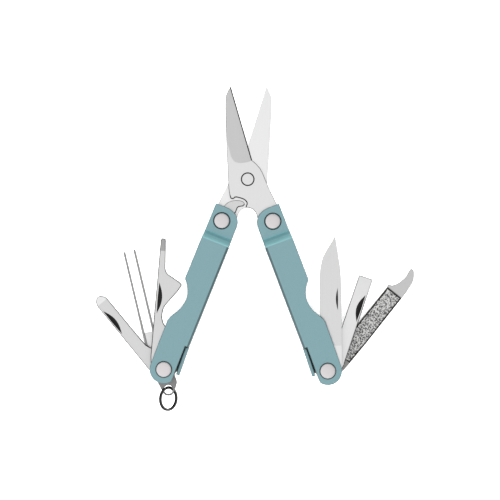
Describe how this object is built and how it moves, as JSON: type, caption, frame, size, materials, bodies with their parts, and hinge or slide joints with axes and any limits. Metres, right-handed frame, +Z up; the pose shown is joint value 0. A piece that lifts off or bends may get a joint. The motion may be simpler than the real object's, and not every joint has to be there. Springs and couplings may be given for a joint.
{
  "type": "multi tool",
  "caption": "Key-chain multi tool with spring scissors, folding handles, fanned-out blade, drivers, file, opener and tweezers, and a lanyard tab with key ring.",
  "frame": {"origin": "under the middle of the object's box, on the surface that the rear rivet heads rest on", "axes": "+Y along the scissors towards their tips, +X towards the knife's handle, +Z up through the tool's thickness towards its front face"},
  "size_m": [0.1112, 0.1129, 0.0117],
  "materials": {
    "handle_paint": "satin",
    "tool_steel": "brushed",
    "rivet_steel": "satin",
    "spacer_steel": "dull",
    "file_grit": "cross-cut and grainy",
    "ring_steel": "polished"
  },
  "bodies": {
    "rear_arm": {"rear_scissor_arm": "tool_steel", "scissor_rivet": "rivet_steel", "scissors_spring": "tool_steel"},
    "front_arm": {"front_scissor_arm": "tool_steel"},
    "left_handle": {"left_handle_channel": "handle_paint", "left_top_rivet": "rivet_steel", "left_bottom_rivet": "rivet_steel", "left_front_washer": "spacer_steel", "left_rear_washer": "spacer_steel", "left_front_stack_spacer": "spacer_steel", "left_rear_stack_spacer": "spacer_steel"},
    "right_handle": {"right_handle_channel": "handle_paint", "right_top_rivet": "rivet_steel", "right_bottom_rivet": "rivet_steel", "right_front_washer": "spacer_steel", "right_rear_washer": "spacer_steel", "right_top_spacer": "spacer_steel", "right_stack_spacer": "spacer_steel"},
    "knife": {"knife_blade": "tool_steel"},
    "flat_driver": {"flat_screwdriver": "tool_steel"},
    "file": {"nail_file": "file_grit"},
    "opener": {"bottle_opener": "tool_steel"},
    "tweezer_set": {"tweezers": "tool_steel"},
    "cross_driver": {"phillips_driver": "tool_steel"},
    "tab": {"lanyard_tab": "tool_steel"},
    "ring": {"key_ring": "ring_steel"}
  },
  "joints": [
    {"name": "scissors_close", "type": "hinge", "parent": "rear_arm", "child": "front_arm", "pos_m": [-0.00295, 0.0245, 0.00585], "axis": [0, 0, -1], "range_deg": [0, 22], "stiffness_Nm_per_rad": 0.05, "springref_deg": -17.19, "deforming": ["scissors_spring"]},
    {"name": "left_handle_fold", "type": "hinge", "parent": "rear_arm", "child": "left_handle", "pos_m": [-0.01179, 0.00994, 0.00585], "axis": [0, 0, -1], "range_deg": [0, 166]},
    {"name": "right_handle_fold", "type": "hinge", "parent": "front_arm", "child": "right_handle", "pos_m": [0.00589, 0.00994, 0.00585], "axis": [0, 0, 1], "range_deg": [0, 166]},
    {"name": "knife_fold", "type": "hinge", "parent": "right_handle", "child": "knife", "pos_m": [0.02537, -0.0416, 0.00585], "axis": [0, 0, 1], "range_deg": [-160.5, 19.5]},
    {"name": "flat_driver_fold", "type": "hinge", "parent": "right_handle", "child": "flat_driver", "pos_m": [0.02537, -0.0416, 0.00585], "axis": [0, 0, 1], "range_deg": [-141.2, 38.8]},
    {"name": "file_fold", "type": "hinge", "parent": "right_handle", "child": "file", "pos_m": [0.02537, -0.0416, 0.00585], "axis": [0, 0, 1], "range_deg": [-121, 59]},
    {"name": "opener_fold", "type": "hinge", "parent": "left_handle", "child": "opener", "pos_m": [-0.03127, -0.0416, 0.00585], "axis": [0, 0, -1], "range_deg": [-138, 16.3]},
    {"name": "tweezers_fold", "type": "hinge", "parent": "left_handle", "child": "tweezer_set", "pos_m": [-0.03127, -0.0416, 0.00585], "axis": [0, 0, -1], "range_deg": [-115, 34.6]},
    {"name": "cross_driver_fold", "type": "hinge", "parent": "left_handle", "child": "cross_driver", "pos_m": [-0.03127, -0.0416, 0.00585], "axis": [0, 0, -1], "range_deg": [-90, 60.6]},
    {"name": "tab_swing", "type": "hinge", "parent": "left_handle", "child": "tab", "pos_m": [-0.03127, -0.0416, 0.00585], "axis": [0, 0, -1], "range_deg": [-12, 25]},
    {"name": "ring_swing", "type": "hinge", "parent": "tab", "child": "ring", "pos_m": [-0.0298, -0.04886, 0.00585], "axis": [0.6884, 0, -0.7254], "range_deg": [-40, 40]}
  ]
}
